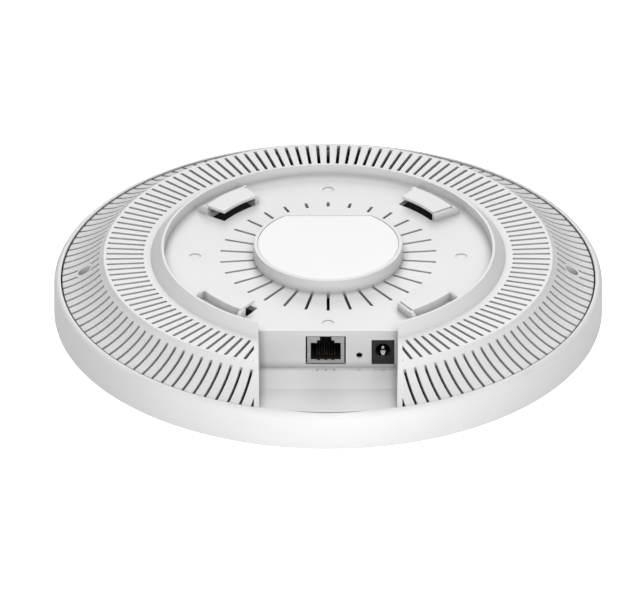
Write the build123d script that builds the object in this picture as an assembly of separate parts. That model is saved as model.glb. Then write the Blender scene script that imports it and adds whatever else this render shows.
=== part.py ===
from build123d import *
import math
import os

# Ceiling wireless access point, millimetres. +Z points at the ceiling, so the room side
# is down, and the cable ports face -Y. The origin is the middle of the front face.

# ---- Overall case -------------------------------------------------------------------
OUTER_R = 110.0                 # radius of the front cover's side wall
RING_Z = 34.0                   # height of the flat slotted ring and of the bracket recess
WALL = 2.0                      # moulded wall of the back cover
RING_WALL = 1.3                 # the same in the two slotted rings
FRONT_WALL = 2.2                # moulded wall of the front cover
FRONT_FLAT_R = 40.0             # flat middle of the domed front face
DOME_EDGE_Z = 7.3               # height of the dome where it meets the side wall
DOME_SLOPE_R = 68.0             # radial run of the dome's arc
SEAM_R = 107.2                  # inside radius of the front cover's rim
SEAM_Z = RING_Z - 10.15         # height of the rim at the seam
RIM_Z = RING_Z - 12.0           # height where the side wall meets the rim's rounded top
SEAM_GAP = 0.55                 # groove between the two covers
RIM_DIP_HALF = 17.0             # thumb dip in the rim, in front of the cable pocket
RIM_DIP_DEPTH = 0.6

# ---- Back cover: rings, lip and boss ------------------------------------------------
BACK_R = SEAM_R - SEAM_GAP      # outer radius of the back cover
BACK_EDGE_Z = RING_Z - 10.5
SKIRT_T = 1.4                   # skirt that plugs into the front cover
SKIRT_Z = RING_Z - 16.5
FLAT_OUT_R = 90.2               # outer edge of the flat slotted ring
CURVE_TOP = (91.3, RING_Z - 1.4)   # where the concave wall leaves the ring's edge
CURVE_MID = (98.0, RING_Z - 6.7)
LIP_BASE_R = 71.3
LIP_OUT_R = 67.0
LIP_IN_R = 65.9
LIP_FOOT_R = 65.6
LIP_H = 4.4
BOSS_TOP_R = 29.9
BOSS_FOOT_R = 30.2
BOSS_H = 6.0
LABEL_R = 28.4
LABEL_CHORD_Y = 22.4
LABEL_DEPTH = 0.4
LABEL_T = 0.25

# ---- Vents --------------------------------------------------------------------------
SLOT_COUNT = 130
FLAT_SLOT_W = 1.3
FLAT_SLOT = (74.1, 89.0)        # start and end radius of the slots in the flat ring
CURVED_SLOT_W = 1.2
CURVED_SLOT_R = 92.0            # start radius of the slots that run out at the seam
CURVED_SLOT_FOOT = 12.2         # depth of their foot under the flat ring
VENT_COUNT = 30
VENT_W = 1.2
VENT_SPAN = (30.0, 43.5)        # they start at the boss's wall

# ---- Bracket hooks ------------------------------------------------------------------
HOOK_COUNT = 4
HOOK_IN_R = 51.0
HOOK_OUT_R = 60.2
HOOK_START = 124.4              # degrees; the closed end of the first hook
HOOK_END = 144.6                # its open end
HOOK_TOP = 3.8
HOOK_PLATE = 1.1
HOOK_WALL = 1.6
STOP_STEP = 1.5                 # the closed end stands out this far past the plate
STOP_DROP = 0.6                 # and is this much lower
GUSSET_T = 1.5                  # rounded ribs that brace the back of a hook
GUSSET_R = 62.8
GUSSET_SIDE = 1.0               # height of their straight outer side
WALL_PAST = 1.0                 # degrees that the back wall runs past the plate's open end
HOLE_IN_R = 50.3                # opening in the floor under a hook
HOLE_OUT_R = 58.0
HOLE_START = 125.0              # also the inner face of the closed end
HOLE_END = 145.8
DIMPLE_R = 2.4
DIMPLE_RING_R = 53.4
DIMPLE_DEPTH = 0.3

# ---- Cable pocket and port wall -----------------------------------------------------
POCKET_HALF = 28.0              # half width of the pocket at the flat ring
POCKET_DRAFT = 0.03             # sideways slope of its side walls
POCKET_EDGE = 1.8               # solid border beside the pocket, also its side walls
PORT_Y = -59.8                  # outer face of the port wall
POCKET_FLOOR = RING_Z - 17.0
RAMP_Y = -76.8                  # crease where the floor turns into the ramp
RAMP_SLOPE = 0.2276

# ---- Case screws --------------------------------------------------------------------
SCREW_RING_R = 97.8
WELL_R = 2.5
PAD_R = 3.6
WELL_FLOOR = RING_Z - 11.5
PILLAR_FOOT = RING_Z - 13.8
SCREW_HEAD_R = 2.15
SCREW_HEAD_H = 1.6
SCREW_R = 1.3
SCREW_TIP = 10.5

# ---- Board stack --------------------------------------------------------------------
BOARD_TOP = RING_Z - 15.3
BOARD_T = 1.6
BOARD_BOTTOM = BOARD_TOP - BOARD_T
BOARD_R = 90.0
CHIP_T = 1.0
PAD_T = 0.5
PLATE_TOP = BOARD_BOTTOM - CHIP_T - PAD_T
PLATE_T = 1.6
PLATE_BOTTOM = PLATE_TOP - PLATE_T
PLATE_R = 104.2
PLATE_RIM = 6.0
STACK_HALF = POCKET_HALF + POCKET_EDGE + 0.7
STACK_FRONT = PORT_Y + WALL + 0.5
BOARD_SCREWS = [(66.0, 0.0), (-66.0, 0.0), (22.0, 66.0), (-22.0, 66.0), (37.0, -62.0), (-37.0, -62.0)]
BOARD_SCREW_R = 1.3

# ---- Ports --------------------------------------------------------------------------
PORT_FACE = PORT_Y + 0.2        # face of the sockets, just behind the wall's outer face
NET_X = -0.97
NET_W = 14.9
NET_H = 12.4
NET_SIDE_GAP = 0.6              # gaps round the socket in the port wall
NET_TOP_GAP = 0.35
NET_D = 18.0
NET_SHEET = 0.3
NET_FLOOR = RING_Z - 13.3       # floor of the plug opening
NET_NOTCHES = (-2.9, 0.0, 2.9)  # small notches in the shell under the plug opening
NET_WIRES = 8
NET_PITCH = 1.02
NET_WIRE = 0.42
DC_X = 22.0
DC_W = 8.8
DC_H = 10.85
DC_D = 14.0
DC_AXIS_Z = RING_Z - 9.25
DC_BORE_R = 2.95
DC_BORE_D = 10.5
DC_PIN_R = 1.0
RESET_X = 12.5
RESET_Z = RING_Z - 11.3
RESET_HOLE_R = 1.26
RESET_WALL = 0.9                # the port wall is thinner round the pinhole
STEM_R = 1.6

# ---- Antennas -----------------------------------------------------------------------
AERIAL_R = 66.0
AERIAL_ANGLES = (45.0, 135.0, 225.0, 315.0)
LEAD_R = 0.57
LEAD_HOLE_R = 76.0
PLUG_RING_R = 84.0


def turned(points, rounds=()):
    """Solid of revolution about Z. points is a closed outline of (radius, height), where a
    point given as a pair of pairs is an arc's middle and end; rounds is (r, z, radius)."""
    edges = []
    last = points[0]
    for point in points[1:] + points[:1]:
        if isinstance(point[0], tuple):
            middle, end = point
            edges.append(ThreePointArc(last, middle, end))
        else:
            end = point
            edges.append(Line(last, end))
        last = end
    face = make_face(edges)
    for r, z, radius in rounds:
        corner = face.vertices().sort_by_distance((r, z, 0))[0]
        face = fillet(corner, radius)
    return revolve(Plane.XZ * face, Axis.Z)


def ring_of(shape, count, start=0.0):
    """Copies of a shape at equal angles about Z."""
    return [Rot(0, 0, start + i * 360 / count) * shape for i in range(count)]


def block(x, y, z):
    """Box between (low, high) pairs on each axis."""
    size = Box(x[1] - x[0], y[1] - y[0], z[1] - z[0])
    return Pos((x[0] + x[1]) / 2, (y[0] + y[1]) / 2, (z[0] + z[1]) / 2) * size


def rod(x, y, z0, z1, radius):
    """Upright cylinder between two heights."""
    return Pos(x, y, (z0 + z1) / 2) * Cylinder(radius, z1 - z0)


def rod_y(x, z, y0, y1, radius):
    """Cylinder along Y between two stations."""
    return Pos(x, (y0 + y1) / 2, z) * Rot(90, 0, 0) * Cylinder(radius, y1 - y0)


def sector(r0, r1, a0, a1, z0, z1):
    """Part of a ring between two angles in degrees and two heights."""
    def at(radius, angle):
        return (radius * math.cos(math.radians(angle)), radius * math.sin(math.radians(angle)))
    mid = (a0 + a1) / 2
    edges = [
        Line(at(r0, a0), at(r1, a0)),
        ThreePointArc(at(r1, a0), at(r1, mid), at(r1, a1)),
        Line(at(r1, a1), at(r0, a1)),
        ThreePointArc(at(r0, a1), at(r0, mid), at(r0, a0)),
    ]
    return Pos(0, 0, z0) * extrude(make_face(edges), z1 - z0)


def extruded_x(points, x0, x1):
    """Prism along X from a closed outline of (y, z)."""
    face = Plane.YZ * make_face(Polyline(*points, close=True))
    return Pos(x0, 0, 0) * extrude(face, x1 - x0)


def polar(radius, angle):
    """Plan position at a radius and an angle in degrees."""
    return (radius * math.cos(math.radians(angle)), radius * math.sin(math.radians(angle)))


# ---- Back cover ---------------------------------------------------------------------

def outer_skin():
    """Ceiling-side outline of the back cover from the axis to its outer edge."""
    return [
        (0, RING_Z + BOSS_H),
        (BOSS_TOP_R, RING_Z + BOSS_H),
        (BOSS_FOOT_R, RING_Z),
        (LIP_FOOT_R, RING_Z),
        (LIP_IN_R, RING_Z + LIP_H),
        (LIP_OUT_R, RING_Z + LIP_H),
        (LIP_BASE_R, RING_Z),
        (FLAT_OUT_R, RING_Z),
        CURVE_TOP,
        (CURVE_MID, (BACK_R, BACK_EDGE_Z)),
    ]


def skin_rounds():
    """Moulded edge radii of the ceiling-side outline."""
    return [
        (BOSS_TOP_R, RING_Z + BOSS_H, 0.3),
        (LIP_FOOT_R, RING_Z, 0.15),
        (LIP_IN_R, RING_Z + LIP_H, 0.15),
        (LIP_OUT_R, RING_Z + LIP_H, 0.15),
        (LIP_BASE_R, RING_Z, 0.15),
        (FLAT_OUT_R, RING_Z, 0.25),
        (BACK_R, BACK_EDGE_Z, 0.3),
    ]


def back_shell():
    """Thin turned shell of the back cover, before any opening is cut."""
    skirt_in = BACK_R - SKIRT_T
    inner = [
        (BACK_R, SKIRT_Z),
        (skirt_in, SKIRT_Z),
        (skirt_in, BACK_EDGE_Z - RING_WALL + 0.2),
        ((CURVE_MID[0] - 0.65, CURVE_MID[1] - 1.12), (FLAT_OUT_R - 0.7, RING_Z - RING_WALL)),
        (LIP_BASE_R, RING_Z - RING_WALL),
        (LIP_OUT_R, RING_Z - WALL),
        (BOSS_FOOT_R - WALL, RING_Z - WALL),
        (BOSS_TOP_R - WALL, RING_Z + BOSS_H - WALL),
        (0, RING_Z + BOSS_H - WALL),
    ]
    return turned(outer_skin() + inner, skin_rounds())


def solid_under_skin():
    """Solid body with the back cover's ceiling-side shape, for walls that reach up to it."""
    foot = POCKET_FLOOR - WALL
    return turned(outer_skin() + [(BACK_R, foot), (0, foot)], skin_rounds())


def slots(span, width, count, depth):
    """Radial slots down from the flat ring's height, one of them pointing at +Y."""
    one = block(span, (-width / 2, width / 2), (RING_Z - depth, RING_Z + 1))
    return ring_of(one, count, 90.0)


def pocket_walls(fill):
    """Port wall, side walls, floor and ramp of the cable pocket, as one solid lump."""
    half = POCKET_HALF + POCKET_EDGE
    under_y = RAMP_Y - 0.4
    end_y = -BACK_R - 1
    under_end = POCKET_FLOOR - WALL + (under_y - end_y) * RAMP_SLOPE
    top = RING_Z + LIP_H + 1
    outline = [
        (PORT_Y + WALL, top),
        (PORT_Y + WALL, POCKET_FLOOR - WALL),
        (under_y, POCKET_FLOOR - WALL),
        (end_y, under_end),
        (end_y, top),
    ]
    return fill & extruded_x(outline, -half, half)


def pocket_space():
    """Open space of the cable pocket, running out past the rim."""
    end_y = -BACK_R - 5
    top = RING_Z + BOSS_H + 1
    outline = [
        (PORT_Y, top),
        (PORT_Y, POCKET_FLOOR),
        (RAMP_Y, POCKET_FLOOR),
        (end_y, POCKET_FLOOR + (RAMP_Y - end_y) * RAMP_SLOPE),
        (end_y, top),
    ]
    foot_half = POCKET_HALF - (RING_Z - POCKET_FLOOR + 1) * POCKET_DRAFT
    top_half = POCKET_HALF + (top - RING_Z) * POCKET_DRAFT
    front = [(-foot_half, POCKET_FLOOR - 1), (foot_half, POCKET_FLOOR - 1), (top_half, top), (-top_half, top)]
    face = Plane.XZ * make_face(Polyline(*front, close=True))
    space = extruded_x(outline, -top_half, top_half) & extrude(face, OUTER_R + 5)
    wall = space.edges().group_by(Axis.Y)[-1].sort_by(Axis.X)
    return fillet([wall[0], wall[-1]], 0.25)


def port_cutouts():
    """Openings in the port wall for the two sockets and the reset pin."""
    wall = (PORT_Y - 1, PORT_Y + WALL + 1)
    net = block(
        (NET_X - NET_W / 2 - NET_SIDE_GAP, NET_X + NET_W / 2 + NET_SIDE_GAP),
        wall,
        (BOARD_TOP - 0.2, BOARD_TOP + NET_H + NET_TOP_GAP),
    )
    dc = block((DC_X - DC_W / 2 - 0.2, DC_X + DC_W / 2 + 0.2), wall, (BOARD_TOP - 0.2, BOARD_TOP + DC_H + 0.2))
    behind = rod_y(RESET_X, RESET_Z, PORT_Y + RESET_WALL, wall[1], RESET_HOLE_R + 0.9)
    return [net, dc, rod_y(RESET_X, RESET_Z, *wall, RESET_HOLE_R), behind]


def gusset():
    """Rounded rib on the outside of a hook, drawn along +X."""
    foot = (HOOK_OUT_R - 0.4, RING_Z - 0.5)
    toe = (GUSSET_R, RING_Z - 0.5)
    side = (GUSSET_R, RING_Z + GUSSET_SIDE)
    top = (HOOK_OUT_R - 0.4, RING_Z + HOOK_TOP - 0.25)
    crown = (GUSSET_R - 0.9, RING_Z + HOOK_TOP - 1.0)
    face = Plane.XZ * make_face([Line(foot, toe), Line(toe, side), ThreePointArc(side, crown, top), Line(top, foot)])
    return extrude(face, GUSSET_T / 2, both=True)


def hook():
    """One twist-lock hook: a plate over the floor, closed on the outside and at one end."""
    under = HOOK_TOP - HOOK_PLATE
    base = RING_Z - 0.5
    top = RING_Z + HOOK_TOP
    plate = sector(HOOK_IN_R, HOOK_OUT_R, HOOK_START, HOOK_END, RING_Z + under, top)
    plate = fillet(plate.edges().group_by(Axis.Z)[-1], 0.2)
    wall_in = HOOK_OUT_R - HOOK_WALL
    back = sector(wall_in, HOOK_OUT_R, HOOK_START, HOOK_END + WALL_PAST, base, top - 0.25)
    stop_start = HOOK_START - math.degrees(STOP_STEP / HOOK_OUT_R)
    stop = sector(HOOK_IN_R, HOOK_OUT_R, stop_start, HOLE_START, base, top - STOP_DROP)
    stop = fillet(stop.edges().group_by(Axis.Z)[-1], 0.3)
    body = plate + back + stop
    half_rib = math.degrees(GUSSET_T / 2 / HOOK_OUT_R)
    for angle in (stop_start + half_rib, HOOK_END + WALL_PAST - half_rib):
        body += Rot(0, 0, angle) * gusset()
    return body


def screw_places():
    """Plan positions of the two case screws."""
    return [(SCREW_RING_R, 0.0), (-SCREW_RING_R, 0.0)]


def back_cover():
    """Slotted back cover with its boss, lip, hooks, cable pocket and screw wells."""
    fill = solid_under_skin()
    cover = back_shell()
    cover += [rod(x, y, BOARD_TOP, RING_Z - RING_WALL, 3.0) for x, y in BOARD_SCREWS]
    cover -= slots(FLAT_SLOT, FLAT_SLOT_W, SLOT_COUNT, WALL + 1)
    cover -= slots((CURVED_SLOT_R, BACK_R + 1), CURVED_SLOT_W, SLOT_COUNT, CURVED_SLOT_FOOT)
    cover -= slots(VENT_SPAN, VENT_W, VENT_COUNT, WALL + 1)
    cover += pocket_walls(fill)
    cover += [fill & rod(x, y, PILLAR_FOOT, RING_Z, PAD_R) for x, y in screw_places()]
    cover += ring_of(hook(), HOOK_COUNT)
    half = POCKET_HALF + 0.05
    lip_gap = block((-half, half), (PORT_Y - 1, PORT_Y + 2), (RING_Z, RING_Z + LIP_H + 1))
    cuts = [pocket_space(), lip_gap]
    cuts += port_cutouts()
    for x, y in screw_places():
        cuts.append(rod(x, y, WELL_FLOOR, RING_Z, WELL_R))
        cuts.append(rod(x, y, PILLAR_FOOT - 1, RING_Z, SCREW_R + 0.15))
    for x, y in BOARD_SCREWS:
        cuts.append(rod(x, y, BOARD_TOP - 1, RING_Z - WALL - 3.0, BOARD_SCREW_R + 0.03))
    opening = sector(HOLE_IN_R, HOLE_OUT_R, HOLE_START, HOLE_END, RING_Z - WALL - 1, RING_Z + 0.4)
    cuts += ring_of(opening, HOOK_COUNT)
    dimple = rod(DIMPLE_RING_R, 0, RING_Z - DIMPLE_DEPTH, RING_Z + 1, DIMPLE_R)
    cuts += ring_of(dimple, HOOK_COUNT)
    cuts.append(label_outline(LABEL_R, RING_Z + BOSS_H - LABEL_DEPTH, RING_Z + BOSS_H + 1))
    window = block((BACK_R - SKIRT_T - 1, BACK_R + 1), (-4.6, 4.6), (SKIRT_Z + 0.9, SKIRT_Z + 3.1))
    cuts += ring_of(window, 8, 22.5)
    return cover - cuts


def label_outline(radius, z0, z1):
    """Round plate with one straight edge towards +Y."""
    disc = rod(0, 0, z0, z1, radius)
    return disc - block((-radius, radius), (LABEL_CHORD_Y, radius + 1), (z0 - 1, z1 + 1))


def rating_label():
    """Blank label in the boss's shallow recess."""
    floor = RING_Z + BOSS_H - LABEL_DEPTH
    shape = label_outline(LABEL_R - 0.25, floor, floor + LABEL_T)
    return shape


# ---- Front cover and light pipe -----------------------------------------------------

def dome_z(radius):
    """Height of the outside of the domed front face."""
    run = max(0.0, radius - FRONT_FLAT_R)
    return DOME_EDGE_Z * (run / DOME_SLOPE_R) ** 2


def rim_dip():
    """Shallow thumb dip across the rim in front of the cable pocket."""
    radius = (RIM_DIP_HALF ** 2 + RIM_DIP_DEPTH ** 2) / (2 * RIM_DIP_DEPTH)
    return rod_y(0, SEAM_Z - RIM_DIP_DEPTH + radius, -OUTER_R - 1, -SEAM_R + 3, radius)


def front_cover():
    """Domed front cover with its side wall, screw pillars, snap catches and light-pipe socket."""
    edge_r = FRONT_FLAT_R + DOME_SLOPE_R
    mid_r = FRONT_FLAT_R + DOME_SLOPE_R / 2
    in_r = SEAM_R
    shell = turned(
        [
            (0, 0),
            (FRONT_FLAT_R, 0),
            ((mid_r, dome_z(mid_r)), (edge_r, DOME_EDGE_Z)),
            (OUTER_R, DOME_EDGE_Z + 0.7),
            (OUTER_R, RIM_Z),
            ((OUTER_R - 0.85, SEAM_Z - 0.55), (in_r, SEAM_Z)),
            (in_r, dome_z(in_r) + FRONT_WALL),
            ((mid_r, dome_z(mid_r) + FRONT_WALL), (FRONT_FLAT_R, FRONT_WALL)),
            (0, FRONT_WALL),
        ],
        [(OUTER_R, DOME_EDGE_Z + 0.7, 1.2), (in_r, SEAM_Z, 0.25)],
    )
    cover = shell + rod(0, 0, FRONT_WALL - 0.5, 10.0, 3.4)
    for x, y in screw_places():
        cover += rod(x, y, dome_z(SCREW_RING_R) + 1.0, PILLAR_FOOT - 0.1, PAD_R)
    catch = block((SEAM_R - 1.2, SEAM_R + 0.4), (-4.0, 4.0), (SKIRT_Z + 1.2, SKIRT_Z + 2.8))
    cover += ring_of(catch, 8, 22.5)
    holes = [rod(x, y, SCREW_TIP - 1, PILLAR_FOOT, SCREW_R + 0.03) for x, y in screw_places()]
    holes.append(rod(0, 0, -1, 11, 2.05))
    holes.append(rim_dip())
    return cover - holes


def light_pipe():
    """Clear rod that carries the status light to the front face."""
    return rod(0, 0, 0.1, BOARD_BOTTOM - 1.0, 2.0) + rod(0, 0, 10.05, 11.2, 3.2)


def status_led():
    """Light source on the room side of the board."""
    return block((-1.6, 1.6), (-1.4, 1.4), (BOARD_BOTTOM - 0.8, BOARD_BOTTOM))


# ---- Screws -------------------------------------------------------------------------

def screw(x, y, head_z, tip_z, radius, head_r, head_h, head_up):
    """Pan-head screw with a cross recess; the head is above or below its shaft."""
    sign = 1 if head_up else -1
    top = head_z + sign * head_h
    head = rod(x, y, min(head_z, top), max(head_z, top), head_r)
    outer = head.edges().group_by(Axis.Z)[-1 if head_up else 0]
    head = fillet(outer, 0.5)
    shank = rod(x, y, min(tip_z, head_z), max(tip_z, head_z), radius)
    deep = top - sign * 0.9
    z = (min(deep, top + sign), max(deep, top + sign))
    arm = head_r * 0.62
    cross = [block((x - arm, x + arm), (y - 0.3, y + 0.3), z), block((x - 0.3, x + 0.3), (y - arm, y + arm), z)]
    return head + shank - cross


def case_screws():
    """Two screws that hold the covers together."""
    return [
        screw(x, y, WELL_FLOOR, SCREW_TIP, SCREW_R, SCREW_HEAD_R, SCREW_HEAD_H, True)
        for x, y in screw_places()
    ]


def board_screws():
    """Screws that hold the heat plate and the board to the back cover."""
    tip = RING_Z - WALL - 3.5
    return [screw(x, y, PLATE_BOTTOM, tip, BOARD_SCREW_R, 2.4, 1.5, False) for x, y in BOARD_SCREWS]


# ---- Board and heat plate -----------------------------------------------------------

def stack_front_cut():
    """Space around the cable pocket that the board and the heat plate leave free."""
    return block((-STACK_HALF, STACK_HALF), (-OUTER_R, STACK_FRONT), (0, RING_Z))


def main_board():
    """Main circuit board."""
    board = rod(0, 0, BOARD_BOTTOM, BOARD_TOP, BOARD_R)
    cuts = [stack_front_cut()]
    cuts += [rod(x, y, 0, RING_Z, BOARD_SCREW_R + 0.2) for x, y in BOARD_SCREWS]
    cuts += [rod(*polar(LEAD_HOLE_R, a), 0, RING_Z, 1.6) for a in AERIAL_ANGLES]
    return board - cuts


def heat_plate():
    """Black aluminium heat plate with a turned-up rim, which is also the antennas' ground."""
    rim_top = PLATE_BOTTOM + PLATE_RIM
    plate = turned(
        [
            (0, PLATE_BOTTOM),
            (PLATE_R, PLATE_BOTTOM),
            (PLATE_R, rim_top),
            (PLATE_R - PLATE_T, rim_top),
            (PLATE_R - PLATE_T, PLATE_TOP),
            (0, PLATE_TOP),
        ],
        [(PLATE_R, PLATE_BOTTOM, 1.5), (PLATE_R - PLATE_T, PLATE_TOP, 0.8)],
    )
    plate += [rod(x, y, PLATE_BOTTOM, BOARD_BOTTOM, 4.0) for x, y in BOARD_SCREWS]
    cuts = [stack_front_cut()]
    cuts += [rod(x, y, 0, RING_Z, BOARD_SCREW_R + 0.2) for x, y in BOARD_SCREWS]
    cuts += [rod(x, y, 0, RING_Z, PAD_R + 1.0) for x, y in screw_places()]
    cuts += [rod(*polar(LEAD_HOLE_R, a), 0, RING_Z, 1.6) for a in AERIAL_ANGLES]
    cuts.append(rod(0, 0, 0, RING_Z, 4.2))
    return plate - cuts


def chip(x, y, width, depth, height, on_top=True):
    """Flat chip package on either side of the board."""
    z = (BOARD_TOP, BOARD_TOP + height) if on_top else (BOARD_BOTTOM - height, BOARD_BOTTOM)
    body = block((x - width / 2, x + width / 2), (y - depth / 2, y + depth / 2), z)
    return chamfer(body.edges().filter_by(Axis.Z), 0.4)


HOT_CHIPS = [(22.0, 8.0, 17.0, 17.0), (-24.0, 22.0, 11.0, 11.0), (-24.0, -9.0, 11.0, 11.0)]
RADIO_CANS = [(-24.0, 22.0, 28.0, 22.0), (-24.0, -9.0, 28.0, 30.0)]


def hot_chips():
    """Processor and two radio chips on the board's room side."""
    return [chip(x, y, w, d, CHIP_T, on_top=False) for x, y, w, d in HOT_CHIPS]


def thermal_pads():
    """Soft pads between the hot chips and the heat plate."""
    pads = []
    for x, y, w, d in HOT_CHIPS:
        pads.append(block((x - w / 2, x + w / 2), (y - d / 2, y + d / 2), (PLATE_TOP, PLATE_TOP + PAD_T)))
    return pads


def memory_chips():
    """Memory and flash packages on the ceiling side of the board."""
    return [chip(22.0, 26.0, 13.0, 8.0, 1.1), chip(40.0, 8.0, 8.0, 13.0, 1.1), chip(8.0, 24.0, 6.0, 5.0, 1.6)]


def shield_cans():
    """Tin lids over the two radio sections."""
    cans = []
    for x, y, w, d in RADIO_CANS:
        x_span = (x - w / 2, x + w / 2)
        y_span = (y - d / 2, y + d / 2)
        can = block(x_span, y_span, (BOARD_TOP, BOARD_TOP + 3.2))
        can = fillet(can.edges().filter_by(Axis.Z), 1.2)
        inner = block(
            (x_span[0] + 0.3, x_span[1] - 0.3),
            (y_span[0] + 0.3, y_span[1] - 0.3),
            (BOARD_TOP - 1, BOARD_TOP + 2.9),
        )
        can -= fillet(inner.edges().filter_by(Axis.Z), 0.9)
        holes = []
        for i in range(5):
            for j in range(4):
                holes.append(rod(x + (i - 2) * 5.0, y + (j - 1.5) * 5.0, BOARD_TOP + 2, BOARD_TOP + 4, 0.9))
        cans.append(can - holes)
    return cans


def magnetics():
    """Ethernet transformer module behind the network socket."""
    body = block((-9.0, 7.0), (-38.0, -25.0), (BOARD_TOP + 0.2, BOARD_TOP + 6.2))
    return chamfer(body.edges().group_by(Axis.Z)[-1], 0.5)


def supply_transformer():
    """Isolating transformer of the power-over-network supply."""
    core = block((38.0, 52.0), (-30.0, -18.0), (BOARD_TOP + 2.0, BOARD_TOP + 11.0))
    core = fillet(core.edges().filter_by(Axis.Z), 1.0)
    bobbin = block((36.5, 53.5), (-31.5, -16.5), (BOARD_TOP, BOARD_TOP + 2.0))
    return core + bobbin


def capacitors():
    """Electrolytic capacitors behind the power socket."""
    cans = []
    for x, y, radius, height in [(20.0, -34.0, 4.0, 10.5), (29.5, -34.0, 4.0, 10.5), (24.5, -24.0, 3.15, 7.7)]:
        can = rod(x, y, BOARD_TOP, BOARD_TOP + height, radius)
        can = fillet(can.edges().group_by(Axis.Z)[-1], 0.6)
        groove = rod(x, y, BOARD_TOP + 1.4, BOARD_TOP + 2.0, radius + 1) - rod(x, y, BOARD_TOP, BOARD_TOP + 3, radius - 0.3)
        cans.append(can - groove)
    return cans


def inductors():
    """Power inductors of the board's voltage converters."""
    coils = []
    for x, y in [(44.0, -6.0), (52.0, 4.0)]:
        coil = block((x - 3.4, x + 3.4), (y - 3.4, y + 3.4), (BOARD_TOP, BOARD_TOP + 4.0))
        coils.append(fillet(coil.edges().filter_by(Axis.Z), 1.2))
    return coils


# ---- Network socket -----------------------------------------------------------------

def net_opening(y0, y1, top):
    """Stepped plug opening with its latch slot, between two stations."""
    main = block((NET_X - 6.03, NET_X + 6.03), (y0, y1), (NET_FLOOR, RING_Z - 5.65))
    step = block((NET_X - 3.5, NET_X + 3.5), (y0, y1), (NET_FLOOR, RING_Z - 4.5))
    latch = block((NET_X - 2.33, NET_X + 2.33), (y0, y1), (NET_FLOOR, top))
    return main + step + latch


def ethernet_shield():
    """Folded tin shell of the network socket."""
    x = (NET_X - NET_W / 2, NET_X + NET_W / 2)
    y = (PORT_FACE, PORT_FACE + NET_D)
    shell = block(x, y, (BOARD_TOP, BOARD_TOP + NET_H))
    shell = fillet(shell.edges().filter_by(Axis.Y).group_by(Axis.Z)[-1], 0.3)
    inside = block(
        (x[0] + NET_SHEET, x[1] - NET_SHEET),
        (y[0] + NET_SHEET, y[1] - NET_SHEET),
        (BOARD_TOP - 1, BOARD_TOP + NET_H - NET_SHEET),
    )
    notches = [block(x, (y[0] - 1, y[0] + NET_SHEET), (BOARD_TOP - 1, BOARD_TOP + 0.3))]
    for offset in NET_NOTCHES:
        middle = NET_X + offset
        notches.append(block((middle - 0.6, middle + 0.6), (y[0] - 1, y[0] + 1), (NET_FLOOR - 0.45, NET_FLOOR + 1)))
    return shell - inside - net_opening(y[0] - 1, y[0] + 1, BOARD_TOP + NET_H + 1) - notches


def ethernet_insulator():
    """Black moulding inside the shell, with the plug opening and the contact trough."""
    gap = NET_SHEET + 0.05
    y = (PORT_FACE + gap, PORT_FACE + NET_D - gap)
    body = block(
        (NET_X - NET_W / 2 + gap, NET_X + NET_W / 2 - gap),
        y,
        (BOARD_TOP, BOARD_TOP + NET_H - gap),
    )
    opening = net_opening(y[0] - 1, PORT_FACE + 13.5, BOARD_TOP + NET_H)
    trough = block((NET_X - 4.7, NET_X + 4.7), (PORT_FACE + 1.3, PORT_FACE + 13.5), (NET_FLOOR - 1.2, NET_FLOOR + 0.5))
    return body - opening - trough


def wire_x(i):
    """X of one of the network contacts."""
    return NET_X + (i - (NET_WIRES - 1) / 2) * NET_PITCH


CONTACT_PIVOT = (PORT_FACE + 4.2, NET_FLOOR - 0.25)     # y and z of the contacts' bend
CONTACT_TIP = (PORT_FACE + 10.1, RING_Z - 11.7)


def ethernet_contacts():
    """Sprung contact wires, sloping up and back from the bend at the front of the socket."""
    half = NET_WIRE / 2
    y0, z0 = CONTACT_PIVOT
    y1, z1 = CONTACT_TIP
    wires = []
    for i in range(NET_WIRES):
        x = wire_x(i)
        outline = [
            (y0 - half, z0 - half * 0.4),
            (y0, z0 - half),
            (y1, z1 - half),
            (y1 + 1.2, z1 - 0.4),
            (y1 + 1.3, z1 - 0.05),
            (y1, z1 + half),
            (y0 - half, z0 + half),
        ]
        wires.append(extruded_x(outline, x - half, x + half))
    return wires


def ethernet_terminals():
    """Fixed legs of the contact wires, on the floor of the trough."""
    floor = NET_FLOOR - 1.2
    legs = []
    for i in range(NET_WIRES):
        x = wire_x(i)
        legs.append(block((x - 0.2, x + 0.2), (PORT_FACE + 6.5, PORT_FACE + 13.4), (floor, floor + 0.35)))
    return legs


# ---- Power socket -------------------------------------------------------------------

def power_jack_housing():
    """Black moulding of the barrel socket."""
    y = (PORT_FACE, PORT_FACE + DC_D)
    body = block((DC_X - DC_W / 2, DC_X + DC_W / 2), y, (BOARD_TOP, BOARD_TOP + DC_H))
    body = fillet(body.edges().filter_by(Axis.Y), 0.3)
    bore = rod_y(DC_X, DC_AXIS_Z, y[0] - 1, y[0] + DC_BORE_D, DC_BORE_R)
    mouth = Pos(DC_X, y[0] + 0.2, DC_AXIS_Z) * Rot(90, 0, 0) * Cone(DC_BORE_R - 0.1, DC_BORE_R + 0.4, 0.8)
    tail = rod_y(DC_X, DC_AXIS_Z, y[0], y[1] + 1, DC_PIN_R + 0.02)
    channel = block(
        (DC_X - 1.4, DC_X + 1.4),
        (y[0] + 1.0, y[0] + 13.0),
        (BOARD_TOP + 1.0, DC_AXIS_Z - 2.0),
    )
    return body - bore - mouth - tail - channel


def power_jack_pin():
    """Centre pin of the barrel socket with a rounded tip."""
    tip = PORT_FACE + 2.2
    pin = rod_y(DC_X, DC_AXIS_Z, tip, PORT_FACE + DC_D + 0.3, DC_PIN_R)
    return fillet(pin.edges().group_by(Axis.Y)[0], DC_PIN_R * 0.75)


LEAF_PIVOT = (PORT_FACE + 12.2, RING_Z - 12.7)          # y and z of the leaf's root


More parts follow.
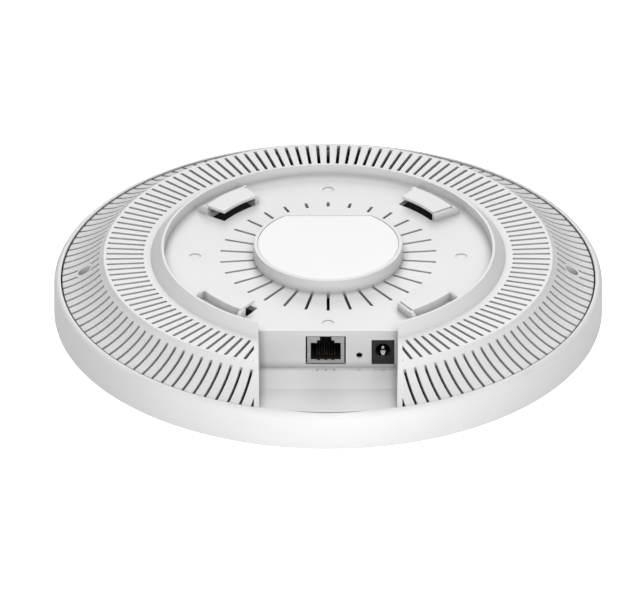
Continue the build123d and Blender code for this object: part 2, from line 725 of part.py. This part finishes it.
def power_jack_leaf():
    """Leaf spring that presses on the plug's sleeve from below, with a tapered tip."""
    y0, z0 = LEAF_PIVOT
    crest_y = PORT_FACE + 2.9
    crest_z = DC_AXIS_Z - 1.45
    tip_y = PORT_FACE + 1.6
    tip_z = DC_AXIS_Z - 3.0
    sheet = 0.3
    outline = [
        (y0 + 0.3, z0),
        (crest_y + 0.25, crest_z),
        (crest_y, crest_z - 0.05),
        (tip_y, tip_z),
        (tip_y + 0.23, tip_z - 0.2),
        (crest_y + 0.15, crest_z - sheet - 0.1),
        (y0 + 0.3, z0 - sheet),
    ]
    leaf = extruded_x(outline, DC_X - 1.0, DC_X + 1.0)
    plan = [
        (DC_X - 1.0, y0 + 1),
        (DC_X - 1.0, crest_y - 0.4),
        (DC_X - 0.4, tip_y - 0.1),
        (DC_X + 0.4, tip_y - 0.1),
        (DC_X + 1.0, crest_y - 0.4),
        (DC_X + 1.0, y0 + 1),
    ]
    return leaf & extrude(make_face(Polyline(*plan, close=True)), RING_Z)


# ---- Reset switch -------------------------------------------------------------------

SWITCH_FRONT = PORT_Y + 7.4
SWITCH_D = 3.6
CAVITY_R = 2.5


def reset_switch_body():
    """Side-pressed switch body, hollow for the plunger's collar."""
    y = (SWITCH_FRONT, SWITCH_FRONT + SWITCH_D)
    body = block((RESET_X - 3.0, RESET_X + 3.0), y, (BOARD_TOP, BOARD_TOP + 7.0))
    cavity = rod_y(RESET_X, RESET_Z, y[0] + 0.6, y[0] + 2.4, CAVITY_R)
    return body - cavity - rod_y(RESET_X, RESET_Z, y[0] - 1, y[0] + 1, STEM_R + 0.05)


def reset_plunger():
    """Plunger that a pin through the port wall presses."""
    stem = rod_y(RESET_X, RESET_Z, PORT_Y + WALL + 1.4, SWITCH_FRONT + 1.2, STEM_R)
    stem = fillet(stem.edges().group_by(Axis.Y)[0], 0.3)
    return stem + rod_y(RESET_X, RESET_Z, SWITCH_FRONT + 0.7, SWITCH_FRONT + 1.5, CAVITY_R - 0.4)


# ---- Antennas -----------------------------------------------------------------------

def at_antenna(shape, angle):
    """Place a shape drawn along +X at one antenna."""
    return Rot(0, 0, angle) * shape


def antenna(length, drop):
    """Stamped antenna: a plate hung under the heat plate on two legs."""
    sheet = 0.5
    low = PLATE_BOTTOM - drop
    x = (AERIAL_R - 4.0, AERIAL_R + 4.0)
    plate = block(x, (-length / 2, length / 2), (low, low + sheet))
    leg = block(x, (-length / 2, -length / 2 + sheet), (low, PLATE_BOTTOM - 0.05))
    feed = block((AERIAL_R - 1.2, AERIAL_R + 1.2), (-sheet / 2, sheet / 2), (low, PLATE_BOTTOM - 0.8))
    slot = block((AERIAL_R - 1.0, AERIAL_R + 1.0), (2.0, length / 2 - 3.0), (low - 1, low + 1))
    foot = block(x, (-length / 2 - 3.0, -length / 2 + sheet), (PLATE_BOTTOM - sheet - 0.05, PLATE_BOTTOM - 0.05))
    return plate + leg + feed + foot - slot


def low_band_antennas():
    """Two longer antennas."""
    return [at_antenna(antenna(32.0, 7.0), a) for a in AERIAL_ANGLES[0::2]]


def high_band_antennas():
    """Two shorter antennas."""
    return [at_antenna(antenna(24.0, 5.5), a) for a in AERIAL_ANGLES[1::2]]


def antenna_plugs():
    """Coaxial plugs on the ceiling side of the board."""
    x, y = PLUG_RING_R, 0
    plug = rod(x, y, BOARD_TOP, BOARD_TOP + 1.6, 1.6)
    plug += block((x - 2.4, x), (-0.8, 0.8), (BOARD_TOP + 0.4, BOARD_TOP + 1.6))
    return [at_antenna(plug, a) for a in AERIAL_ANGLES]


def antenna_leads():
    """Coaxial leads, from each plug down through the board and the heat plate to the antenna."""
    high = BOARD_TOP + 1.0
    low = PLATE_BOTTOM - 1.6
    start = PLUG_RING_R - 2.4
    end = AERIAL_R + 1.3
    points = [(start, 0, high), (LEAD_HOLE_R, 0, high), (LEAD_HOLE_R, 0, low), (end, 0, low)]
    path = FilletPolyline(*points, radius=2.5)
    lead = sweep(Plane(path @ 0, z_dir=path % 0) * Circle(LEAD_R), path)
    return [at_antenna(lead, a) for a in AERIAL_ANGLES]


PARTS = {
    "front_cover": front_cover,
    "back_cover": back_cover,
    "rating_label": rating_label,
    "light_pipe": light_pipe,
    "status_led": status_led,
    "case_screws": case_screws,
    "board_screws": board_screws,
    "main_board": main_board,
    "heat_plate": heat_plate,
    "hot_chips": hot_chips,
    "thermal_pads": thermal_pads,
    "memory_chips": memory_chips,
    "shield_cans": shield_cans,
    "ethernet_magnetics": magnetics,
    "supply_transformer": supply_transformer,
    "capacitors": capacitors,
    "inductors": inductors,
    "ethernet_shield": ethernet_shield,
    "ethernet_insulator": ethernet_insulator,
    "ethernet_contacts": ethernet_contacts,
    "ethernet_terminals": ethernet_terminals,
    "power_jack_housing": power_jack_housing,
    "power_jack_pin": power_jack_pin,
    "power_jack_leaf": power_jack_leaf,
    "reset_switch_body": reset_switch_body,
    "reset_plunger": reset_plunger,
    "low_band_antennas": low_band_antennas,
    "high_band_antennas": high_band_antennas,
    "antenna_plugs": antenna_plugs,
    "antenna_leads": antenna_leads,
}


def write_parts():
    """One STEP file for each piece, or each group of identical pieces."""
    os.makedirs("parts", exist_ok=True)
    for name, make in PARTS.items():
        shape = make()
        if isinstance(shape, list):
            shape = Compound(children=[piece.solids()[0] for piece in shape])
        export_step(shape, f"parts/{name}.step")


write_parts()
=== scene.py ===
import math

import bpy
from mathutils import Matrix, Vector


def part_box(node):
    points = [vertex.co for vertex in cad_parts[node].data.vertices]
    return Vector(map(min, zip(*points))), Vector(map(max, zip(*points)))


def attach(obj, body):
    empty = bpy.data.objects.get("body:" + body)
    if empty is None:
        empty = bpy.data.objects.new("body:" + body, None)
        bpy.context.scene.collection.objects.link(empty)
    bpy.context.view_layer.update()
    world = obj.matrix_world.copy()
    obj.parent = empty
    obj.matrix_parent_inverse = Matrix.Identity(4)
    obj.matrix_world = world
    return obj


# Ceiling wireless access point, lying on its domed front with its slotted back up.
# Everything is in metres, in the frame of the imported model, unless a comment says otherwise.

MILLIMETRE = 0.001
MICRON = 0.000001

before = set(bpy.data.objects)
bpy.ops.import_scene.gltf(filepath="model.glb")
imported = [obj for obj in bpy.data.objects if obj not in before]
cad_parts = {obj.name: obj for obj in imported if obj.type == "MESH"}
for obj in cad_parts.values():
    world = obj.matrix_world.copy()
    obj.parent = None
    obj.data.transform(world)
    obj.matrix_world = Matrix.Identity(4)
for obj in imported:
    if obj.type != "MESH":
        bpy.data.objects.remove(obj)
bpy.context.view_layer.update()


# ---- View ---------------------------------------------------------------------------

VIEW_WIDTH = 0.25595                # width of the orthographic view
VIEW_ELEVATION = math.radians(30.0)
VIEW_CENTRE = Vector((-0.00367, 0.0, 0.01563))
VIEW_DISTANCE = 1.2
NEAR_CLIP = 0.05
FAR_CLIP = 20.0


def make_camera():
    """Orthographic camera that looks along +Y from above the cable pocket."""
    data = bpy.data.cameras.new("camera")
    data.type = "ORTHO"
    data.ortho_scale = VIEW_WIDTH
    data.clip_start = NEAR_CLIP
    data.clip_end = FAR_CLIP
    camera = bpy.data.objects.new("camera", data)
    bpy.context.scene.collection.objects.link(camera)
    back = Vector((0.0, -math.cos(VIEW_ELEVATION), math.sin(VIEW_ELEVATION)))
    camera.location = VIEW_CENTRE + back * VIEW_DISTANCE
    camera.rotation_mode = "QUATERNION"
    camera.rotation_quaternion = (-back).to_track_quat("-Z", "Y")
    bpy.context.scene.camera = camera


# ---- Shader helpers -----------------------------------------------------------------

NOISE_LOW, NOISE_HIGH = 0.15, 0.85  # the part of 0 to 1 that a noise mostly stays in


def new_material(name):
    """Empty node material with a Principled shader; returns the material, tree and shader."""
    material = bpy.data.materials.new(name)
    material.use_nodes = True
    tree = material.node_tree
    tree.nodes.clear()
    output = tree.nodes.new("ShaderNodeOutputMaterial")
    shader = tree.nodes.new("ShaderNodeBsdfPrincipled")
    tree.links.new(shader.outputs["BSDF"], output.inputs["Surface"])
    return material, tree, shader


def grey(tone):
    """Neutral colour."""
    return (tone, tone, tone)


def place(tree):
    """Position on the piece."""
    return tree.nodes.new("ShaderNodeTexCoord").outputs["Object"]


def calculated(tree, operation, value, number, swapped=False):
    """One sum of a node value and a number, which comes first when swapped."""
    node = tree.nodes.new("ShaderNodeMath")
    node.operation = operation
    tree.links.new(value, node.inputs[1 if swapped else 0])
    node.inputs[0 if swapped else 1].default_value = number
    return node.outputs[0]


def summed(tree, values):
    """Sum of several node values."""
    total = values[0]
    for value in values[1:]:
        node = tree.nodes.new("ShaderNodeMath")
        node.operation = "ADD"
        tree.links.new(total, node.inputs[0])
        tree.links.new(value, node.inputs[1])
        total = node.outputs[0]
    return total


def noise(tree, size, detail=2.0):
    """Noise whose blotches are about size across."""
    node = tree.nodes.new("ShaderNodeTexNoise")
    node.inputs["Scale"].default_value = 1.0 / size
    node.inputs["Detail"].default_value = detail
    tree.links.new(place(tree), node.inputs["Vector"])
    return node.outputs["Fac"]


def spread(tree, value, low, high):
    """Maps a 0 to 1 noise, which mostly stays near its middle, smoothly to low..high."""
    node = tree.nodes.new("ShaderNodeMapRange")
    node.interpolation_type = "SMOOTHERSTEP"
    node.inputs["From Min"].default_value = NOISE_LOW
    node.inputs["From Max"].default_value = NOISE_HIGH
    node.inputs["To Min"].default_value = low
    node.inputs["To Max"].default_value = high
    tree.links.new(value, node.inputs["Value"])
    return node.outputs["Result"]


def tint(tree, value, first, second):
    """Mixes two colours by a 0 to 1 value."""
    node = tree.nodes.new("ShaderNodeMix")
    node.data_type = "RGBA"
    node.inputs["A"].default_value = (*first, 1.0)
    node.inputs["B"].default_value = (*second, 1.0)
    tree.links.new(value, node.inputs["Factor"])
    return node.outputs["Result"]


def bump(tree, value, depth):
    """Bump of a real depth."""
    node = tree.nodes.new("ShaderNodeBump")
    node.inputs["Distance"].default_value = depth
    node.inputs["Strength"].default_value = 1.0
    tree.links.new(value, node.inputs["Height"])
    return node.outputs["Normal"]


def painted_corner_shade(tree, colour, reach, shade):
    """Painted shade: darkens a colour towards the bottom of corners and narrow gaps, where shade
    falls.
    """
    open_sky = tree.nodes.new("ShaderNodeAmbientOcclusion")
    open_sky.inputs["Distance"].default_value = reach
    closed = calculated(tree, "SUBTRACT", open_sky.outputs["AO"], 1.0, swapped=True)
    node = tree.nodes.new("ShaderNodeMix")
    node.data_type = "RGBA"
    node.blend_type = "MULTIPLY"
    node.inputs["B"].default_value = (*grey(shade), 1.0)
    tree.links.new(closed, node.inputs["Factor"])
    tree.links.new(colour, node.inputs["A"])
    return node.outputs["Result"]


# ---- Materials ----------------------------------------------------------------------

# Size of the blotches in the tone and the gloss of a surface, and the detail in them.
PLASTIC_TONE = (0.03, 2.0)
PLASTIC_GLOSS = (0.015, 2.0)
METAL_TONE = (0.004, 3.0)
METAL_GLOSS = (0.002, 4.0)
PLASTIC_IOR = 1.5

CASE_PAINTED_SHADE = (0.0035, 0.22)        # reach and tone of the painted shade in the case's corners

METAL_GRAIN = 0.4 * MILLIMETRE
METAL_GRAIN_DETAIL = 3.0
METAL_GRAIN_DEPTH = 2 * MICRON

ACRYLIC_TONE = 0.003                # size of the flow marks in the light pipe's colour
ACRYLIC_GLOSS = 0.002               # and in its gloss
ACRYLIC_CLEARNESS = 0.9
ACRYLIC_IOR = 1.49


def moulded(name, first, second, rough, grain=0.35, depth=4, corner=None):
    """Moulded plastic: slight tone drift, uneven gloss and a fine grain, whose size is in
    millimetres and depth in microns. corner is the reach and the tone of the painted shade
    that darkens its colour in its corners, where shade falls."""
    material, tree, shader = new_material(name)
    colour = tint(tree, spread(tree, noise(tree, *PLASTIC_TONE), 0.0, 1.0), first, second)
    if corner is not None:
        # painted shade: the colour is darkened in corners and narrow gaps
        colour = painted_corner_shade(tree, colour, *corner)
    gloss = spread(tree, noise(tree, *PLASTIC_GLOSS), *rough)
    relief = bump(tree, noise(tree, grain * MILLIMETRE), depth * MICRON)
    tree.links.new(colour, shader.inputs["Base Color"])
    tree.links.new(gloss, shader.inputs["Roughness"])
    tree.links.new(relief, shader.inputs["Normal"])
    shader.inputs["IOR"].default_value = PLASTIC_IOR
    return material


def plated(name, first, second, rough):
    """Bare or plated metal with a fine grain and stains in its gloss."""
    material, tree, shader = new_material(name)
    colour = tint(tree, spread(tree, noise(tree, *METAL_TONE), 0.0, 1.0), first, second)
    gloss = spread(tree, noise(tree, *METAL_GLOSS), *rough)
    relief = bump(tree, noise(tree, METAL_GRAIN, METAL_GRAIN_DETAIL), METAL_GRAIN_DEPTH)
    tree.links.new(colour, shader.inputs["Base Color"])
    tree.links.new(gloss, shader.inputs["Roughness"])
    tree.links.new(relief, shader.inputs["Normal"])
    shader.inputs["Metallic"].default_value = 1.0
    return material


def clear_plastic(name, first, second, rough):
    """Clear acrylic of the light pipe, with faint flow marks."""
    material, tree, shader = new_material(name)
    gloss = spread(tree, noise(tree, ACRYLIC_GLOSS), *rough)
    tree.links.new(gloss, shader.inputs["Roughness"])
    tree.links.new(tint(tree, noise(tree, ACRYLIC_TONE), first, second),
                   shader.inputs["Base Color"])
    shader.inputs["Transmission Weight"].default_value = ACRYLIC_CLEARNESS
    shader.inputs["IOR"].default_value = ACRYLIC_IOR
    return material


def make_materials():
    """One material for each kind of surface, from its two tones, its range of roughness and,
    where they aren't the usual ones, its grain's size and depth."""
    return {
        # the case's white carries painted shade in its corners and narrow gaps
        "white": moulded("white_case", grey(0.715), grey(0.735), (0.32, 0.38),
                         corner=CASE_PAINTED_SHADE),
        "label": moulded("label_film", grey(0.86), grey(0.88), (0.38, 0.44), 1.2, 3),
        "black": moulded("black_moulding", (0.010, 0.010, 0.011), (0.016, 0.016, 0.017),
                         (0.42, 0.55), 0.3, 12),
        "chip": moulded("chip_package", (0.02, 0.02, 0.021), (0.03, 0.03, 0.031),
                        (0.5, 0.62), 0.2, 10),
        "button": moulded("button", (0.03, 0.03, 0.032), (0.04, 0.04, 0.042), (0.4, 0.5)),
        "board": moulded("solder_mask", (0.002, 0.003, 0.003), (0.004, 0.006, 0.005),
                         (0.55, 0.7)),
        "pad": moulded("thermal_pad", (0.20, 0.22, 0.25), (0.26, 0.28, 0.31),
                       (0.7, 0.85), 0.6, 30),
        "ferrite": moulded("ferrite", (0.04, 0.04, 0.042), (0.07, 0.07, 0.072),
                           (0.55, 0.75), 0.4, 20),
        "jacket": moulded("lead_jacket", (0.02, 0.02, 0.022), (0.03, 0.03, 0.032),
                          (0.45, 0.55)),
        "plate": moulded("black_coating", (0.010, 0.010, 0.011), (0.016, 0.016, 0.017),
                         (0.6, 0.75), 0.5, 20),
        "tin": plated("tin_plate", (0.46, 0.46, 0.455), (0.54, 0.54, 0.53), (0.34, 0.42)),
        "steel": plated("zinc_steel", (0.50, 0.51, 0.53), (0.62, 0.63, 0.66), (0.28, 0.45)),
        "gold": plated("gold_plate", (0.42, 0.34, 0.23), (0.52, 0.43, 0.30), (0.35, 0.45)),
        "nickel": plated("nickel_plate", (0.62, 0.61, 0.59), (0.72, 0.71, 0.69), (0.26, 0.34)),
        "leaf": plated("leaf_spring", (0.26, 0.25, 0.24), (0.34, 0.33, 0.32), (0.42, 0.52)),
        "print": moulded("grey_print", grey(0.30), grey(0.36), (0.5, 0.6)),
        "sleeve": moulded("capacitor_sleeve", (0.02, 0.02, 0.03), (0.03, 0.03, 0.045),
                          (0.3, 0.4)),
        "clear": clear_plastic("clear_acrylic", (0.93, 0.96, 0.98), (0.98, 0.99, 1.0),
                               (0.04, 0.12)),
    }


NODE_LOOKS = {
    "front_cover": "white",
    "back_cover": "white",
    "rating_label": "label",
    "light_pipe": "clear",
    "status_led": "clear",
    "case_screws": "steel",
    "board_screws": "steel",
    "main_board": "board",
    "heat_plate": "plate",
    "hot_chips": "chip",
    "thermal_pads": "pad",
    "memory_chips": "chip",
    "shield_cans": "tin",
    "ethernet_magnetics": "chip",
    "supply_transformer": "ferrite",
    "capacitors": "sleeve",
    "inductors": "ferrite",
    "ethernet_shield": "tin",
    "ethernet_insulator": "black",
    "ethernet_contacts": "gold",
    "ethernet_terminals": "gold",
    "power_jack_housing": "black",
    "power_jack_pin": "nickel",
    "power_jack_leaf": "leaf",
    "reset_switch_body": "black",
    "reset_plunger": "button",
    "low_band_antennas": "tin",
    "high_band_antennas": "tin",
    "antenna_plugs": "gold",
    "antenna_leads": "jacket",
}


def dress_nodes(looks):
    """Gives each CAD node its material, through its object's own slots."""
    for name, look in NODE_LOOKS.items():
        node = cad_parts[name]
        if not node.material_slots:
            node.data.materials.append(looks[look])
        for slot in node.material_slots:
            slot.link = "OBJECT"
            slot.material = looks[look]


# ---- Printed marks ------------------------------------------------------------------

PRINT_LIFT = 0.03 * MILLIMETRE      # height of the print above the pocket floor
PRINT_GAP = 1.9 * MILLIMETRE        # from the sockets' faces to the middle of a mark
SOCKET_STEP = 1.7 * MILLIMETRE      # from the pocket floor up to the board the sockets are on

# The sizes below and the strokes are in millimetres.
STROKE = 0.3                        # width of a stroke
LINE_END = 4.0                      # from the middle of the network mark to its line's ends
LINE_RISE = 0.5                     # of the network mark's line above the mark's middle
STATION_STEP = 3.4                  # between the stations on that line
STATION_RADIUS = 0.4
STATION_SIDES = 4
STEM_END = -0.1                     # height at which the line to a station stops
DOT_WIDTH = 0.5                     # of the dots beside the reset mark's ring
DOT_PLACES = (-3.4, -2.2, 1.7, 2.9)
RING_RADIUS = 0.75
RING_SIDES = 8
LEAD_START, LEAD_END = 0.8, 3.9     # of the lines beside the power mark's ring
PIN_HALF = 0.2                      # half the width of the dot inside that ring


def ring_strokes(x, y, radius, sides):
    """Strokes round a regular polygon."""
    turns = [2 * math.pi * (i + 0.5) / sides for i in range(sides + 1)]
    corners = [(x + radius * math.cos(turn), y + radius * math.sin(turn)) for turn in turns]
    return list(zip(corners[:-1], corners[1:]))


def network_strokes():
    """A line with three stations under it."""
    strokes = [((-LINE_END, LINE_RISE), (LINE_END, LINE_RISE))]
    for x in (-STATION_STEP, 0.0, STATION_STEP):
        strokes.append(((x, LINE_RISE), (x, STEM_END)))
        strokes += ring_strokes(x, -STATION_RADIUS, STATION_RADIUS, STATION_SIDES)
    return strokes


def reset_strokes():
    """An open ring between four dots."""
    dots = [((x, 0.0), (x + DOT_WIDTH, 0.0)) for x in DOT_PLACES]
    return dots + ring_strokes(0.0, 0.0, RING_RADIUS, RING_SIDES)[1:]


def power_strokes():
    """A dot inside a ring, with a line on each side."""
    lines = [
        ((-LEAD_END, 0.0), (-LEAD_START, 0.0)),
        ((LEAD_START, 0.0), (LEAD_END, 0.0)),
        ((-PIN_HALF, 0.0), (PIN_HALF, 0.0)),
    ]
    return lines + ring_strokes(0.0, 0.0, RING_RADIUS, RING_SIDES)


def make_mark(name, node, strokes, look):
    """One small generic symbol on the pocket floor, in front of the port that node is in."""
    low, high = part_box(node)
    sockets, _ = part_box("power_jack_housing")
    corners = []
    faces = []
    for start, end in strokes:
        start = Vector((*start, 0.0))
        along = Vector((*end, 0.0)) - start
        side = Vector((-along.y, along.x, 0.0)).normalized() * STROKE / 2
        faces.append(list(range(len(corners), len(corners) + 4)))
        corners += [start + side, start - side, start + along - side, start + along + side]
    mesh = bpy.data.meshes.new(name)
    mesh.from_pydata([corner * MILLIMETRE for corner in corners], [], faces)
    mesh.materials.append(look)
    mark = bpy.data.objects.new(name, mesh)
    floor_height = sockets.z - SOCKET_STEP
    mark.location = ((low.x + high.x) / 2, sockets.y - PRINT_GAP, floor_height + PRINT_LIFT)
    bpy.context.scene.collection.objects.link(mark)
    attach(mark, "housing")


def make_marks(look):
    """The symbols of the network port, the reset pinhole and the power port."""
    make_mark("network_mark", "ethernet_shield", network_strokes(), look)
    make_mark("reset_mark", "reset_plunger", reset_strokes(), look)
    make_mark("power_mark", "power_jack_housing", power_strokes(), look)


# ---- Studio -------------------------------------------------------------------------

SURROUND = [                        # (azimuth, elevation, sharpness, strength) of each soft light
    (-90.0, 55.0, 8.0, 2.60),       # high in front, the main light
    (-90.0, 30.0, 16.0, 0.46),      # low in front
    (-45.0, 25.0, 8.0, 0.37),       # front right
    (-135.0, 25.0, 8.0, 0.23),      # front left
    (90.0, 55.0, 8.0, 0.78),        # high behind
    (90.0, 25.0, 16.0, 2.80),       # low behind
    (135.0, 35.0, 8.0, 0.18),       # behind on the left
]
FLOOR_HALF = 6.0                    # half the width of the floor
FLOOR_ROUGHNESS = 0.9
FLOOR_TONES = (0.90, 0.92)
FLOOR_BLOTCH = 0.01                 # size of the drift between the two tones
FLOOR_SEEN = 1.2                    # glow that only the camera sees, so the floor looks white
FLOOR_PATCH = ((0.0, -0.35), 0.3, 2.6)      # middle, radius and strength of a brighter patch
LAMP_AIM = Vector((0.0, -0.05, 0.02))
LAMPS = [                           # (name, place, size, power in watts) of each near light
    ("lamp_front", (0.0, -0.22, 0.45), 0.25, 0.30),
    ("lamp_left", (-0.35, -0.30, 0.30), 0.25, 0.15),
    ("lamp_right", (0.35, -0.30, 0.30), 0.25, 0.30),
]


def soft_light(tree, azimuth, elevation, sharpness, strength):
    """Glow of the surround around one direction."""
    turn = math.radians(azimuth)
    rise = math.radians(elevation)
    towards = (math.cos(rise) * math.cos(turn), math.cos(rise) * math.sin(turn), math.sin(rise))
    dot = tree.nodes.new("ShaderNodeVectorMath")
    dot.operation = "DOT_PRODUCT"
    dot.inputs[1].default_value = towards
    tree.links.new(tree.nodes.new("ShaderNodeTexCoord").outputs["Generated"], dot.inputs[0])
    facing = calculated(tree, "MAXIMUM", dot.outputs["Value"], 0.0)
    return calculated(tree, "MULTIPLY", calculated(tree, "POWER", facing, sharpness), strength)


def floor_patch(tree, middle, radius, strength):
    """Glow of the floor that fades out from a point."""
    away = tree.nodes.new("ShaderNodeVectorMath")
    away.operation = "DISTANCE"
    away.inputs[1].default_value = (*middle, 0.0)
    tree.links.new(place(tree), away.inputs[0])
    fade = tree.nodes.new("ShaderNodeMapRange")
    fade.interpolation_type = "SMOOTHSTEP"
    fade.inputs["From Max"].default_value = radius
    fade.inputs["To Min"].default_value = strength
    fade.inputs["To Max"].default_value = 0.0
    tree.links.new(away.outputs["Value"], fade.inputs["Value"])
    return fade.outputs["Result"]


def make_floor():
    """Plain pale floor that looks white and lights the object from low in front."""
    half = FLOOR_HALF
    mesh = bpy.data.meshes.new("floor")
    corners = [(-half, -half, 0), (half, -half, 0), (half, half, 0), (-half, half, 0)]
    mesh.from_pydata(corners, [], [(0, 1, 2, 3)])
    floor = bpy.data.objects.new("floor", mesh)
    bpy.context.scene.collection.objects.link(floor)
    material, tree, shader = new_material("floor_paper")
    paper = tint(tree, noise(tree, FLOOR_BLOTCH), *map(grey, FLOOR_TONES))
    tree.links.new(paper, shader.inputs["Base Color"])
    shader.inputs["Roughness"].default_value = FLOOR_ROUGHNESS
    seen = tree.nodes.new("ShaderNodeLightPath").outputs["Is Camera Ray"]
    glow = [calculated(tree, "MULTIPLY", seen, FLOOR_SEEN), floor_patch(tree, *FLOOR_PATCH)]
    tree.links.new(summed(tree, glow), shader.inputs["Emission Strength"])
    shader.inputs["Emission Color"].default_value = (1.0, 1.0, 1.0, 1.0)
    mesh.materials.append(material)


def make_lamp(name, stands_at, size, power):
    """Square soft light that faces the object and isn't seen itself."""
    data = bpy.data.lights.new(name, "AREA")
    data.size = size
    data.energy = power
    lamp = bpy.data.objects.new(name, data)
    lamp.location = stands_at
    lamp.rotation_mode = "QUATERNION"
    lamp.rotation_quaternion = (LAMP_AIM - Vector(stands_at)).to_track_quat("-Z", "Y")
    lamp.visible_camera = False
    bpy.context.scene.collection.objects.link(lamp)


def make_surround():
    """Soft studio surround: several broad lights, and dark between them."""
    world = bpy.data.worlds.new("surround")
    world.use_nodes = True
    tree = world.node_tree
    background = tree.nodes["Background"]
    background.inputs["Color"].default_value = (1.0, 1.0, 1.0, 1.0)
    glow = [soft_light(tree, *light) for light in SURROUND]
    tree.links.new(summed(tree, glow), background.inputs["Strength"])
    bpy.context.scene.world = world
    bpy.context.scene.view_settings.view_transform = "Standard"


make_camera()
looks = make_materials()
dress_nodes(looks)
make_marks(looks["print"])
make_floor()
make_surround()
for lamp_facts in LAMPS:
    make_lamp(*lamp_facts)
